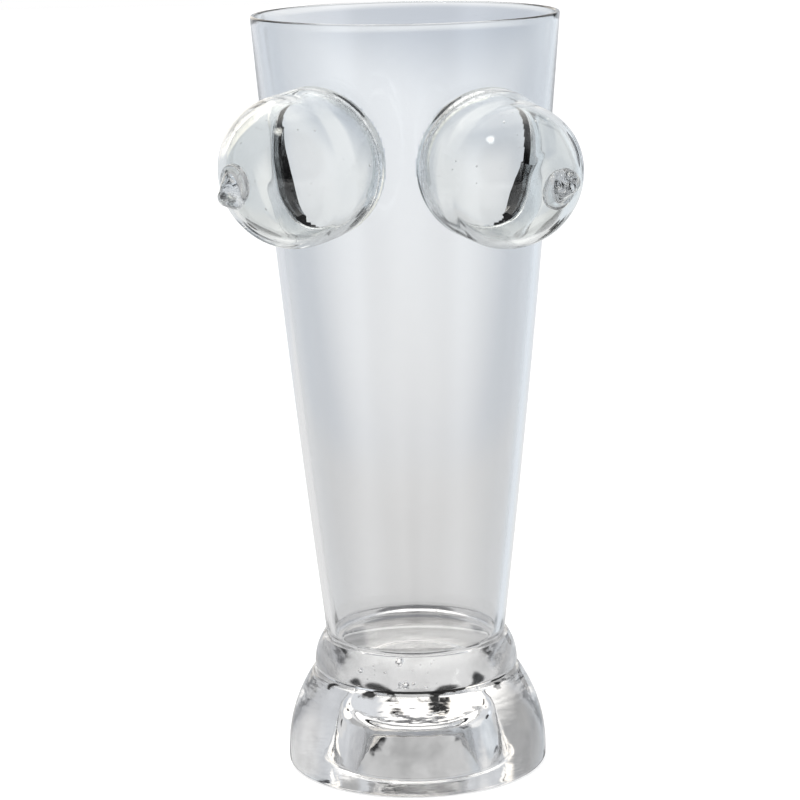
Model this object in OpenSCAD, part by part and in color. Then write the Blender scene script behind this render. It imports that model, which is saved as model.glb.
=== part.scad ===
// Tall tapered beer glass, all of clear glass. A thin bowl is set in a rounded knop on a bell-shaped foot, and two
// hollow blown domes with small knob tips are sealed on near the rim by thick glass rings.
// Millimetres, +Z up. The origin is on the axis in the plane the glass rests on, and the front faces -Y.
// Left and right are those of someone facing the front, so left is -X.

/* [Overall] */
// Height from the resting plane to the rim
height = 210; // [195:1:240]

/* [Foot] */
// Radius of the foot at its fullest
foot_r = 36.4; // [35:0.1:40]
// Height at which the foot is fullest
foot_full_z = 3.2; // [2.6:0.1:6]
// Radius of the arc of the flank, from the fullest height up
foot_arc = 41; // [38:0.5:50]
// Height of the flat top of the foot
foot_h = 26.5; // [23:0.5:28]
// Rounding of the edge that the foot stands on
foot_edge = 1.5; // [0.5:0.1:2.5]
// Radius of the recess in the underside, at its mouth
recess_r = 17; // [15:0.5:22]
// How much narrower the recess is at its roof
recess_draft = 2.5; // [1:0.25:4]
// Depth of the recess
recess_h = 12; // [6:0.5:16]
// Rounding between the roof and the side of the recess
recess_round = 3; // [1:0.25:5]

/* [Knop] */
// Height of the knop, from the top of the foot to its upper edge
knop_h = 10.3; // [8.5:0.1:13]
// Rounding of the lower edge of the knop
knop_edge = 2.2; // [1:0.1:3]
// How far the upper edge of the knop stands out past the bowl
knop_lip = 1; // [0.5:0.1:2.5]
// How much fuller the knop is than its upper edge
knop_draw = 2.5; // [1:0.1:3]
// How deep the bowl sits in the knop
socket_h = 4.8; // [3:0.1:6]

/* [Bowl] */
// Outer radius of the bowl at the rim
rim_r = 41.7; // [40:0.1:48]
// Outer radius of the bowl where its taper changes
waist_r = 33.9; // [32:0.1:36]
// Height at which the taper changes
waist_z = 120; // [90:1:130]
// Outer radius of the bowl at its underside
bowl_base_r = 24.4; // [23.5:0.1:25]
// Thickness of the wall
wall = 2; // [1.5:0.1:3]
// Thickness of the floor of the bowl
floor_t = 4; // [3:0.1:7]
// Rounding between the floor and the wall inside the bowl
floor_round = 3; // [1:0.25:6]

/* [Domes] */
// Outer radius of each dome at its fullest
dome_r = 20; // [18:0.1:21]
// How far the crown of a dome is from its centre
dome_reach = 21.5; // [20:0.1:25]
// Radius of the flat at the crown, from which the rounding starts
dome_flat = 1.2; // [0.5:0.1:3.5]
// Thickness of the dome wall
dome_wall = 2; // [1.5:0.1:2.5]
// How far the centre of a dome stands out from the wall of the bowl
dome_stand = 7.4; // [5:0.1:9]
// Turn of the left dome about the axis, in degrees from the front
left_turn_angle = 37; // [35:0.5:50]
// Turn of the right dome about the axis, in degrees from the front
right_turn_angle = 31.5; // [31:0.5:50]
// Depth of the centre of the left dome below the rim
left_drop = 36.7; // [32:0.1:60]
// Depth of the centre of the right dome below the rim
right_drop = 37.7; // [32:0.1:60]
// Turn of the left dome's own axis, in degrees from the front
left_aim_angle = 50; // [35:0.5:60]
// Turn of the right dome's own axis, in degrees from the front
right_aim_angle = 41; // [30:0.5:55]
// How far the left dome's own axis points below level, in degrees
left_droop_angle = 6; // [0:0.5:15]
// How far the right dome's own axis points below level, in degrees
right_droop_angle = 9.5; // [0:0.5:15]

/* [Seal rings] */
// How far a ring stands off the wall of the bowl
ring_h = 2.2; // [1.5:0.1:3.5]
// How far a ring stands out past the dome
ring_lip = 0.2; // [0.1:0.1:1]
// How far a ring reaches into the dome past the dome wall
ring_shelf = 0.8; // [0.2:0.1:1.5]

/* [Tips] */
// Radius of the pad that carries the knob
pad_r = 5.2; // [4.5:0.1:7]
// Thickness of the pad over the crown of the dome
pad_h = 1.2; // [0.6:0.1:2]
// Radius of the knob
knob_r = 3.6; // [2.5:0.1:4.2]
// Length of the knob, from the crown of the dome
knob_l = 6.4; // [4:0.1:9]
// Rounding of the end of the knob
knob_round = 2.4; // [0.5:0.1:2.4]
// How far the left knob leans up from the dome's own axis, in degrees
left_knob_angle = -60; // [-65:1:65]
// How far the right knob leans up from the dome's own axis, in degrees
right_knob_angle = 46; // [-65:1:65]

/* [Hidden] */
$fn = 96;

// The knop stands on the foot, and the underside of the bowl is the floor of the socket in the knop.
knop_top = foot_h + knop_h;
bowl_z = knop_top - socket_h;
floor_z = bowl_z + floor_t;
// The rim is a half round as thick as the wall, and this is the height of its centre.
lip_r = wall / 2;
lip_z = height - lip_r;
// Outer radius of the bowl at a height.
function bowl_out(z) =
    z < waist_z
        ? bowl_base_r + (waist_r - bowl_base_r) * (z - bowl_z) / (waist_z - bowl_z)
        : waist_r + (rim_r - waist_r) * (z - waist_z) / (lip_z - waist_z);
// A length to the nearest micrometre, so that outlines made from it meet exactly.
function to_um(x) = round(1000 * x) / 1000;
// Radius of the knop at its fullest, and of the arc from there, where it runs upright, to its upper edge.
knop_r = to_um(bowl_out(knop_top) + knop_lip + knop_draw);
knop_rise = knop_h - knop_edge;
knop_arc = to_um((knop_rise * knop_rise + knop_draw * knop_draw) / (2 * knop_draw));
// The rounding inside the bowl touches both the floor and the leaning wall.
bowl_lean = atan((waist_r - bowl_base_r) / (waist_z - bowl_z));
floor_round_r = bowl_base_r - wall + (floor_t + floor_round) * tan(bowl_lean) - floor_round / cos(bowl_lean);
floor_round_z = floor_z + floor_round;
// Radius of the rounding of a dome, and how far its centre is from the dome's along the dome's axis.
dome_round = dome_r - dome_flat;
dome_straight = dome_reach - dome_round;
// How far the bore of a seal ring, which goes on through the wall of the bowl, is inside the dome's outside.
bore_in = dome_wall + ring_shelf;

glass_tint = [0.86, 0.9, 0.93, 0.55];
seal_tint = [0.78, 0.86, 0.83, 0.65];
tip_tint = [0.9, 0.93, 0.95, 0.6];

// Half-plane outlines have the radius across and the height up.
module right_of_axis(reach) {
    translate([0, -reach]) square([2 * reach, 2 * reach]);
}

// The part of a circle that lies from one height up to another, right of the axis.
module round_band(mid_r, mid_z, r, low_z, high_z) {
    intersection() {
        translate([mid_r, mid_z]) circle(r);
        translate([0, low_z]) square([mid_r + 2 * r, high_z - low_z]);
    }
}

// The foot: an arc from the flat top down to its fullest height, an upright band and a rounded standing edge.
module foot_outline() {
    round_band(foot_r - foot_arc, foot_full_z, foot_arc, foot_full_z, foot_h);
    translate([0, foot_edge]) square([foot_r, foot_full_z - foot_edge]);
    round_band(foot_r - foot_edge, foot_edge, foot_edge, 0, foot_edge);
    square([foot_r - foot_edge, foot_edge]);
}

// The recess: a cone frustum open downwards, with a rounded roof edge.
module recess_outline() {
    lean = atan(recess_draft / recess_h);
    round_r = recess_r - recess_draft + recess_round * tan(lean) - recess_round / cos(lean);
    round_z = recess_h - recess_round;
    polygon([
        [0, 0],
        [recess_r, 0],
        [round_r + recess_round * cos(lean), round_z + recess_round * sin(lean)],
        [round_r, recess_h],
        [0, recess_h]
    ]);
    translate([round_r, round_z]) circle(recess_round);
}

// The knop: an arc drawn in towards the top from its fullest height, and a rounded lower edge.
module knop_outline() {
    full_z = foot_h + knop_edge;
    round_band(knop_r - knop_arc, full_z, knop_arc, full_z, knop_top);
    translate([0, foot_h]) square([bowl_base_r, knop_h]);
    round_band(knop_r - knop_edge, full_z, knop_edge, foot_h, full_z);
    translate([0, foot_h]) square([knop_r - knop_edge, knop_edge]);
}

// The outside of the bowl below its lip, which is also the inside of the socket in the knop.
module bowl_outside() {
    polygon([[0, bowl_z], [bowl_base_r, bowl_z], [waist_r, waist_z], [rim_r, lip_z], [0, lip_z]]);
}

// The inside of the bowl, up to the lip.
module bowl_inside() {
    polygon([
        [0, floor_z],
        [floor_round_r, floor_z],
        [floor_round_r + floor_round * cos(bowl_lean), floor_round_z - floor_round * sin(bowl_lean)],
        [waist_r - wall, waist_z],
        [rim_r - wall, lip_z],
        [0, lip_z]
    ]);
    translate([floor_round_r, floor_round_z]) circle(floor_round);
}

// The upper part of the bowl as a solid cone, made larger all round by the given amount.
module wall_cone(more) {
    translate([0, 0, waist_z]) cylinder(h = lip_z - waist_z, r1 = waist_r + more, r2 = rim_r + more);
}

// Puts a shape with its axis on +Z at a dome's centre, with that axis on the dome's own.
module at_dome(turn, aim, droop, drop) {
    rotate([0, 0, turn])
        translate([0, -bowl_out(height - drop) - dome_stand, height - drop])
            rotate([0, 0, aim - turn])
                rotate([90 + droop, 0, 0])
                    children();
}

module at_left() {
    at_dome(-left_turn_angle, -left_aim_angle, left_droop_angle, left_drop) children();
}

module at_right() {
    at_dome(right_turn_angle, right_aim_angle, right_droop_angle, right_drop) children();
}

// The outline of a dome, a short can rounded at both ends, made smaller all round by the given amount.
module dome_outline(less) {
    for (end = [-1, 1])
        translate([dome_flat, end * dome_straight]) circle(dome_round - less);
    translate([0, -dome_straight]) square([dome_r - less, 2 * dome_straight]);
    translate([0, less - dome_reach]) square([dome_flat, 2 * (dome_reach - less)]);
}

module dome_body(less) {
    rotate_extrude()
        intersection() {
            dome_outline(less);
            right_of_axis(2 * dome_reach);
        }
}

module dome_shell() {
    difference() {
        dome_body(0);
        dome_body(dome_wall);
    }
}

module ring_shell() {
    difference() {
        dome_body(-ring_lip);
        dome_body(bore_in);
    }
}

// A knob on +Z: a round root at the origin and a rounded end.
module knob_shape() {
    rotate_extrude()
        intersection() {
            union() {
                circle(knob_r);
                square([knob_r, knob_l - knob_round]);
                square([knob_r - knob_round, knob_l]);
                translate([knob_r - knob_round, knob_l - knob_round]) circle(knob_round);
            }
            right_of_axis(2 * knob_l);
        }
}

// A tip: a pad that follows the crown of the dome, and a knob that leans up by the given angle.
module tip_shape(lean) {
    difference() {
        union() {
            cylinder(h = dome_reach + pad_h, r = pad_r);
            translate([0, 0, dome_reach]) rotate([-lean, 0, 0]) knob_shape();
        }
        dome_body(0);
    }
}

module foot() {
    color(glass_tint)
        rotate_extrude()
            difference() {
                foot_outline();
                recess_outline();
            }
}

module knop() {
    color(glass_tint)
        rotate_extrude()
            difference() {
                knop_outline();
                bowl_outside();
            }
}

module bowl() {
    color(glass_tint)
        difference() {
            rotate_extrude() {
                difference() {
                    bowl_outside();
                    bowl_inside();
                }
                translate([rim_r - lip_r, lip_z]) circle(lip_r);
            }
            at_left() dome_body(bore_in);
            at_right() dome_body(bore_in);
        }
}

module left_seal_ring() {
    color(seal_tint)
        intersection() {
            difference() {
                at_left() ring_shell();
                wall_cone(0);
            }
            wall_cone(ring_h);
        }
}

module left_dome() {
    color(glass_tint)
        difference() {
            at_left() dome_shell();
            wall_cone(ring_h);
        }
}

module left_tip() {
    color(tip_tint) at_left() tip_shape(left_knob_angle);
}

module right_seal_ring() {
    color(seal_tint)
        intersection() {
            difference() {
                at_right() ring_shell();
                wall_cone(0);
            }
            wall_cone(ring_h);
        }
}

module right_dome() {
    color(glass_tint)
        difference() {
            at_right() dome_shell();
            wall_cone(ring_h);
        }
}

module right_tip() {
    color(tip_tint) at_right() tip_shape(right_knob_angle);
}

foot();
knop();
bowl();
left_seal_ring();
left_dome();
left_tip();
right_seal_ring();
right_dome();
right_tip();
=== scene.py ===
"""Looks of a tall tapered beer glass: smooth glass pieces that fuse into each other, and a plain white studio."""

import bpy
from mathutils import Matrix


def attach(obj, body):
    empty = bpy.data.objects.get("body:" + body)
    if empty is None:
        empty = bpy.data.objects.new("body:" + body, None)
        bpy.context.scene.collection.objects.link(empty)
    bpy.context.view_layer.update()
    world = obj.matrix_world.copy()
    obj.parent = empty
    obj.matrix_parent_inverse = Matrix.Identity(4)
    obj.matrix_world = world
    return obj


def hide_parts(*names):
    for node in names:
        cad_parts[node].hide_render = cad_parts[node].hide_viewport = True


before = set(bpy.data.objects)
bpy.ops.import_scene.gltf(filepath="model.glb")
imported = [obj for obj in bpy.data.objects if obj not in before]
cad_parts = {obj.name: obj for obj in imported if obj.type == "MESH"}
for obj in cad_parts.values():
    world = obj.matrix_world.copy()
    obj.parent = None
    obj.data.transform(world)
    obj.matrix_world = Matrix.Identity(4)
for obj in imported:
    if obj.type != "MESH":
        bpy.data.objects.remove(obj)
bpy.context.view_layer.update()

import math
from types import SimpleNamespace

import bpy
import numpy as np
from bpy.props import FloatProperty, FloatVectorProperty, IntProperty, PointerProperty
from mathutils import Matrix, Vector

bl_info = {
    "name": "Tapered beer glass",
    "version": (1, 0, 0),
    "blender": (4, 5, 0),
    "location": "3D View > Sidebar > Beer glass",
    "description": "Builds the pieces, glass and studio of a tall tapered beer glass with two blown domes",
    "category": "Object",
}

SIDES = ("left", "right")
ROUND_COLUMNS = 240
BOWL_COLUMNS = 360
DOME_COLUMNS = 216
CROWN_ROWS, OUTER_ROWS, INNER_ROWS = 6, 64, 70
TIP_ROWS, TIP_COLUMNS = 96, 132
SEED_ROWS, SEED_COLUMNS = 5, 8
SHARP_ANGLE = 35.0
TINY = 1e-7
# Material numbers of a piece: its own glass, the unseen seam, and a second glass at an edge or underneath. At the
# square edges of the openings into the domes that second glass is a painted dark refraction.
OWN, SEAM, OTHER = 0, 1, 2
# Surfaces of the bowl
ELSEWHERE, OUTSIDE, INSIDE = 0, 1, 2
# Rows of faces on the underside of the bowl and up its side to the top of the knop
SOCKET_ROWS = 6
# Angle from the square edge of an opening, round the dome's axis, past which the bore of the ring shows again
FAR_SIDE = 2.2
# Search for where a dome meets the bowl: the share of its outline, the samples on it and the halvings after them
SEARCHED, SAMPLES, HALVINGS = 0.6, 160, 40
NEWTON_STEPS = 6
GLASS_IOR = 1.52
WHITE = (1, 1, 1, 1)
NODE_STEP = 200


def length(label, words, default):
    """A size in metres that a user may change."""
    return FloatProperty(name=label, description=words, default=default, unit="LENGTH", precision=5)


def turn(label, words, degrees):
    """An angle that a user may change, given in degrees."""
    return FloatProperty(name=label, description=words, default=math.radians(degrees), subtype="ANGLE")


def tint(label, words, default):
    """A colour that a user may change."""
    return FloatVectorProperty(name=label, description=words, default=default, subtype="COLOR", size=3, min=0, max=1)


class BeerGlassSizes(bpy.types.PropertyGroup):
    """Sizes of the foot, the knop and the bowl."""

    height: length("Height", "From the resting plane to the rim", 0.210)
    foot_radius: length("Foot radius", "Foot at its fullest", 0.0364)
    foot_full: length("Fullest height", "Height at which the foot is fullest", 0.0032)
    foot_arc: length("Flank arc", "Radius of the arc of the foot's flank", 0.041)
    foot_height: length("Foot height", "Height of the flat top of the foot", 0.0265)
    foot_edge: length("Standing edge", "Rounding of the edge that the foot stands on", 0.0015)
    shoulder: length("Shoulder", "Rounding of the upper edge of the foot", 0.0009)
    recess_radius: length("Recess radius", "Recess in the underside, at its mouth", 0.017)
    recess_draft: length("Recess draft", "How much narrower the recess is at its roof", 0.0025)
    recess_depth: length("Recess depth", "Depth of the recess", 0.012)
    recess_round: length("Recess rounding", "Rounding of the roof edge of the recess", 0.003)
    recess_lip: length("Recess lip", "Rounding of the mouth of the recess", 0.0008)
    knop_height: length("Knop height", "From the top of the foot to the upper edge of the knop", 0.0103)
    knop_edge: length("Knop edge", "Rounding of the lower edge of the knop", 0.0022)
    knop_lip: length("Knop lip", "How far the upper edge of the knop stands out past the bowl", 0.001)
    knop_draw: length("Knop draw", "How much fuller the knop is than its upper edge", 0.0025)
    socket: length("Socket", "How deep the bowl sits in the knop", 0.0048)
    rim_radius: length("Rim radius", "Outside of the bowl at the rim", 0.0417)
    waist_radius: length("Waist radius", "Outside of the bowl at the waist height", 0.0339)
    waist_height: length("Waist height", "Height at which the waist radius holds", 0.120)
    base_radius: length("Base radius", "Outside of the bowl at its underside", 0.0244)
    wall: length("Wall", "Thickness of the wall of the bowl", 0.002)
    rim_wall: length("Rim", "Thickness of the wall at the fire-polished rim", 0.0012)
    rim_taper: length("Rim taper", "Height over which the wall thins towards the rim", 0.050)
    floor: length("Floor", "Thickness of the floor of the bowl", 0.004)
    floor_round: length("Floor rounding", "Rounding between floor and wall inside the bowl", 0.003)


class BeerGlassDomes(bpy.types.PropertyGroup):
    """Sizes and places of the domes, their seal rings and their tips."""

    radius: length("Dome radius", "Outside of a dome at its fullest", 0.020)
    reach: length("Reach", "From a dome's centre to its crown", 0.0215)
    flat: length("Flat", "Radius of the flat at the crown", 0.0012)
    wall: length("Dome wall", "Thickness of the wall of a dome", 0.002)
    stand: length("Stand-off", "From the wall of the bowl to a dome's centre", 0.0074)
    left_turn: turn("Left turn", "Turn of the left dome about the glass, from the front", -37)
    left_aim: turn("Left aim", "Turn of the left dome's own axis, from the front", -50)
    left_droop: turn("Left droop", "How far the left dome points below level", 6)
    left_drop: length("Left drop", "From the rim down to the left dome's centre", 0.0367)
    right_turn: turn("Right turn", "Turn of the right dome about the glass, from the front", 31.5)
    right_aim: turn("Right aim", "Turn of the right dome's own axis, from the front", 41)
    right_droop: turn("Right droop", "How far the right dome points below level", 9.5)
    right_drop: length("Right drop", "From the rim down to the right dome's centre", 0.0377)
    ring_height: length("Ring height", "How far a seal ring stands off the bowl", 0.0022)
    ring_shelf: length("Ring shelf", "How far a seal ring reaches in past the dome's wall", 0.0008)
    ring_bulge: length("Ring bulge", "How far the middle of a seal ring swells out", 0.0003)
    ring_foot: length("Ring foot", "How far a seal ring spreads onto the bowl", 0.0004)
    pad_radius: length("Pad radius", "Pad that carries the knob", 0.0052)
    pad_height: length("Pad height", "Pad above the crown of the dome", 0.0012)
    knob_radius: length("Knob radius", "Knob of a tip", 0.0036)
    knob_length: length("Knob length", "From the crown of the dome to the end of the knob", 0.0064)
    knob_round: length("Knob rounding", "Rounding of the end of the knob", 0.0024)
    neck: length("Neck", "How far the knob and its pad run into each other", 0.0006)
    left_lean: turn("Left lean", "How far the left knob leans up from the dome's own axis", -60)
    right_lean: turn("Right lean", "How far the right knob leans up from the dome's own axis", 46)
    left_sag: length("Left sag", "How far the upper side of the left dome has sunk", 0.0004)
    right_sag: length("Right sag", "How far the upper side of the right dome has sunk", 0.0018)
    left_belly: length("Left belly", "How far the lower side of the left dome hangs out", 0.0008)
    right_belly: length("Right belly", "How far the lower side of the right dome hangs out", 0.0002)
    flare: length("Flare", "How much wider the openings into the domes are inside the bowl", 0.0020)
    left_square: turn(
        "Left square edge", "Where round the left dome's axis the edge of its opening doesn't flare", 197)
    left_span: turn("Left span", "How far from there the left opening is fully flared", 42)
    right_square: turn(
        "Right square edge", "Where round the right dome's axis the edge of its opening doesn't flare", -33)
    right_span: turn("Right span", "How far from there the right opening is fully flared", 26)
    wobble: length("Wobble", "How uneven the blown wall of a dome is", 0.00016)
    seeds: IntProperty(name="Seeds", description="Small air bubbles in the wall of each dome", default=80, min=0)


class BeerGlassTints(bpy.types.PropertyGroup):
    """Colours of the glass, as what one wall lets through."""

    bowl_top: tint("Bowl at the rim", "What the wall lets through near the rim", (0.935, 0.955, 0.975))
    bowl_foot: tint("Bowl below", "What the wall lets through near the foot", (0.93, 0.93, 0.93))
    heavy: tint("Heavy glass", "What the foot and the knop let through", (0.92, 0.92, 0.92))
    dome: tint("Dome", "What the wall of a dome lets through", (0.955, 0.965, 0.962))
    seal: tint("Seal", "What a seal ring lets through", (0.80, 0.83, 0.82))
    knob: tint("Knob", "What a tip lets through", (0.88, 0.88, 0.87))


class BeerGlassStudio(bpy.types.PropertyGroup):
    """Camera, floor and light."""

    camera_side: length("Camera side", "Sideways place of the camera", -0.00322)
    camera_back: length("Camera distance", "Distance of the camera in front of the glass", 0.7608)
    camera_height: length("Camera height", "Height of the camera", 0.2662)
    camera_pitch: turn("Camera pitch", "How far the camera looks down", 12.09)
    camera_roll: turn("Camera roll", "How far the camera leans", -1.07)
    lens: FloatProperty(name="Lens", description="Focal length on a 36 mm sensor", default=126.35, unit="CAMERA")
    floor_size: length("Floor", "Width of the floor", 6.0)
    floor_glow: FloatProperty(
        name="Floor glow", description="Share of the floor's white that no shadow takes", default=0.7)


# Meshes from arrays

def arc(mid, radius, start, end, count):
    """Points on a circle about mid, evenly from the start to the end angle, in degrees."""
    a = np.radians(np.linspace(start, end, count))
    return np.column_stack([mid[0] + radius * np.cos(a), mid[1] + radius * np.sin(a)])


def line(start, end, count):
    """Points evenly along the straight line from start to end."""
    t = np.linspace(0, 1, count)[:, None]
    return (1 - t) * np.array(start, float) + t * np.array(end, float)


def joined(*stretches):
    """The stretches of an outline one after the other, without the points that two of them share."""
    points = np.vstack(stretches)
    step = np.linalg.norm(np.diff(points, axis=0), axis=1)
    return points[np.concatenate([[True], step > 1e-8])]


def turns(columns):
    """Angles of columns that go once round."""
    return np.arange(columns) * 2 * math.pi / columns


def shares(count):
    """Equal steps up to 1, as a column."""
    return (np.arange(1, count + 1) / count)[:, None]


def smooth(share):
    """A share from 0 to 1, with a level start and end."""
    return share * share * (3 - 2 * share)


def unit(v):
    """Vectors at length 1."""
    return v / np.linalg.norm(v, axis=-1, keepdims=True)


def unit_ball(rows, columns):
    """Points of a ball of radius 1 in rows from the bottom up, and then its lowest and highest point."""
    climb = np.linspace(-math.pi / 2, math.pi / 2, rows + 2)[1:-1, None]
    around = turns(columns)
    level = np.cos(climb)
    grid = np.stack([level * np.cos(around), level * np.sin(around), np.sin(climb) + 0 * around], axis=-1)
    return np.vstack([grid.reshape(-1, 3), [[0, 0, -1], [0, 0, 1]]])


def strip_quads(rows, columns, wrap_rows=False):
    """Quads of a grid that wraps round in its columns, and in its rows if asked, and the row of each quad.

    Vertex number: row x columns + column."""
    i = np.arange(rows if wrap_rows else rows - 1)[:, None]
    j = np.arange(columns)[None, :]
    nxt, up = (j + 1) % columns, (i + 1) % rows
    quads = np.stack([i * columns + j, i * columns + nxt, up * columns + nxt, up * columns + j], axis=-1)
    return quads.reshape(-1, 4), np.repeat(i[:, 0], columns)


def pole_fan(ring, pole, flip):
    """Triangles from a closed ring of vertices to one pole vertex."""
    tri = np.column_stack([ring, np.roll(ring, -1), np.full(len(ring), pole)])
    return tri[:, ::-1] if flip else tri


def capped_grid(rows, columns):
    """Quads of a grid that goes round with a fan of triangles at its first and last row, and the row of each quad.

    The two poles of the fans are the vertices that follow the grid."""
    quads, row = strip_quads(rows, columns)
    ring = np.arange(columns)
    first = pole_fan(ring, rows * columns, True)
    last = pole_fan((rows - 1) * columns + ring, rows * columns + 1, False)
    return [quads, first, last], row


def put_piece(name, points, faces, marks, materials):
    """Makes a mesh object from an array of points and lists of face arrays with a material number for each face."""
    mesh = bpy.data.meshes.new(name)
    corners = np.concatenate([f.ravel() for f in faces]).astype(np.int32)
    totals = np.concatenate([np.full(len(f), f.shape[1]) for f in faces]).astype(np.int32)
    starts = np.concatenate([[0], np.cumsum(totals)[:-1]]).astype(np.int32)
    mesh.vertices.add(len(points))
    mesh.vertices.foreach_set("co", np.asarray(points, np.float32).ravel())
    mesh.loops.add(len(corners))
    mesh.loops.foreach_set("vertex_index", corners)
    mesh.polygons.add(len(totals))
    mesh.polygons.foreach_set("loop_start", starts)
    mesh.polygons.foreach_set("material_index", np.concatenate(marks).astype(np.int32))
    mesh.update(calc_edges=True)
    if mesh.validate():
        raise RuntimeError(f"{name}: the mesh had faults")
    mesh.polygons.foreach_set("use_smooth", np.ones(len(totals), bool))
    mesh.set_sharp_from_angle(angle=math.radians(SHARP_ANGLE))
    for material in materials:
        mesh.materials.append(material)
    piece = bpy.data.objects.new(name, mesh)
    bpy.context.scene.collection.objects.link(piece)
    return piece


def hand_over(piece, node):
    """Lets a piece stand for its CAD node: hangs it under the root body and hides the node."""
    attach(piece, "root")
    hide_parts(node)


def spun_solid(profile, columns, marks):
    """A closed outline from axis to axis carried round +Z. The first and last point lie on the axis and become poles.

    Point: (r cos a, r sin a, z) for the outline's (r, z) and the column's angle a."""
    a = turns(columns)
    r, z = profile[1:-1, :1], profile[1:-1, 1:]
    grid = np.stack([r * np.cos(a), r * np.sin(a), z + 0 * a], axis=-1).reshape(-1, 3)
    poles = np.array([[0, 0, profile[0, 1]], [0, 0, profile[-1, 1]]])
    faces, row = capped_grid(len(r), columns)
    marked = [marks[1 + row], np.full(columns, marks[0]), np.full(columns, marks[-1])]
    return np.vstack([grid, poles]), faces, marked


# Foot and knop

def knop_top(sizes):
    """Height of the upper edge of the knop."""
    return sizes.foot_height + sizes.knop_height


def bowl_bottom(sizes):
    """Height of the underside of the bowl, which is the floor of the socket in the knop."""
    return knop_top(sizes) - sizes.socket


def wall_radius(sizes, z):
    """Outer radius of the bowl: the parabola through the base, waist and rim radii at their heights."""
    at = (bowl_bottom(sizes), sizes.waist_height, sizes.height - sizes.rim_wall / 2)
    is_ = (sizes.base_radius, sizes.waist_radius, sizes.rim_radius)
    return sum(
        is_[k] * (z - at[k - 1]) * (z - at[k - 2]) / ((at[k] - at[k - 1]) * (at[k] - at[k - 2]))
        for k in range(3)
    )


def wall_at(sizes, z):
    """Thickness of the wall of the bowl: even, then thinning smoothly towards the rim."""
    up = np.clip((z - sizes.height + sizes.rim_taper) / sizes.rim_taper, 0, 1)
    return sizes.wall + (sizes.rim_wall - sizes.wall) * smooth(up)


def knop_seat(sizes):
    """Radius of the flat underside of the knop, on which it stands on the foot."""
    top = wall_radius(sizes, knop_top(sizes)) + sizes.knop_lip
    return top + sizes.knop_draw - sizes.knop_edge


def foot_outline(sizes):
    """Outline of the foot from the roof of the recess down, over the standing edge and flank, and in along its top."""
    s = sizes
    lean = math.atan(s.recess_draft / s.recess_depth)
    roof_mid = (
        s.recess_radius - s.recess_draft + s.recess_round * (math.tan(lean) - 1 / math.cos(lean)),
        s.recess_depth - s.recess_round,
    )
    flank_mid = (s.foot_radius - s.foot_arc, s.foot_full)
    # The shoulder's rounding touches the flat top and the inside of the flank's arc.
    rise = s.foot_height - s.shoulder - s.foot_full
    aside = math.sqrt((s.foot_arc - s.shoulder) ** 2 - rise ** 2)
    shoulder_mid = (flank_mid[0] + aside, s.foot_height - s.shoulder)
    meet = math.degrees(math.atan2(rise, aside))
    outline = joined(
        line((0, s.recess_depth), (roof_mid[0], s.recess_depth), 10),
        arc(roof_mid, s.recess_round, 90, math.degrees(lean), 14),
        line(
            (roof_mid[0] + s.recess_round * math.cos(lean), roof_mid[1] + s.recess_round * math.sin(lean)),
            (s.recess_radius - s.recess_lip * math.tan(lean), s.recess_lip), 8,
        ),
        arc((s.recess_radius + s.recess_lip, s.recess_lip), s.recess_lip, 180, 270, 7),
        line((s.recess_radius + s.recess_lip, 0), (s.foot_radius - s.foot_edge, 0), 8),
        arc((s.foot_radius - s.foot_edge, s.foot_edge), s.foot_edge, -90, 0, 9),
        line((s.foot_radius, s.foot_edge), (s.foot_radius, s.foot_full), 3),
        arc(flank_mid, s.foot_arc, 0, meet, 40),
        arc(shoulder_mid, s.shoulder, meet, 90, 8),
        line((shoulder_mid[0], s.foot_height), (knop_seat(s), s.foot_height), 4),
        line((knop_seat(s), s.foot_height), (0, s.foot_height), 6),
    )
    r, z = outline[:-1, 0], outline[:-1, 1]
    fused = (z > s.foot_height - TINY) & (r < knop_seat(s) + TINY)
    moulded = (r < s.foot_radius - s.foot_edge - TINY) & (z < s.recess_depth + TINY)
    return outline, SEAM * fused + OTHER * moulded


def heavy_seeds(sizes, name):
    """Air bubbles in the heavy glass, most of them flat and near the seam between foot and knop."""
    draw = np.random.RandomState({"foot": 51, "knop": 52}[name])
    count, inset, margin, deepest, squash = 34, 0.0012, 0.0008, 0.004, 0.5
    around = draw.rand(count) * 2 * math.pi
    r = (knop_seat(sizes) - inset) * np.sqrt(draw.rand(count))
    deep = margin + deepest * draw.rand(count) ** 2
    if name == "foot":
        z = sizes.foot_height - deep
    else:
        z = np.minimum(sizes.foot_height + deep, bowl_bottom(sizes) - margin)
    centres = np.column_stack([r * np.cos(around), r * np.sin(around), z])
    radii = bubble_radii(draw, count, 0.00015, 0.0006, 3)
    return seed_balls(centres, radii, squash, np.broadcast_to(np.eye(3), (count, 3, 3)))


def knop_outline(sizes):
    """Outline of the knop from the middle of its underside, round its belly and lip, and into the socket."""
    s = sizes
    under_points, side_points, floor_points = 6, 5, 6
    base_z, top_z = s.foot_height, knop_top(s)
    full_z = base_z + s.knop_edge
    rise = s.knop_height - s.knop_edge
    belly = (rise ** 2 + s.knop_draw ** 2) / (2 * s.knop_draw)
    full_r = knop_seat(s) + s.knop_edge
    outline = joined(
        line((0, base_z), (knop_seat(s), base_z), under_points),
        arc((knop_seat(s), full_z), s.knop_edge, -90, 0, 12),
        arc((full_r - belly, full_z), belly, 0, math.degrees(math.asin(rise / belly)), 22),
        line((full_r - s.knop_draw, top_z), (wall_radius(s, top_z), top_z), 4),
        line((wall_radius(s, top_z), top_z), (s.base_radius, bowl_bottom(s)), side_points),
        line((s.base_radius, bowl_bottom(s)), (0, bowl_bottom(s)), floor_points),
    )
    marks = np.full(len(outline) - 1, OWN)
    marks[:under_points - 1] = SEAM
    marks[len(marks) - (side_points - 1) - (floor_points - 1):] = SEAM
    return outline, marks


# Domes, seal rings and tips

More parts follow.
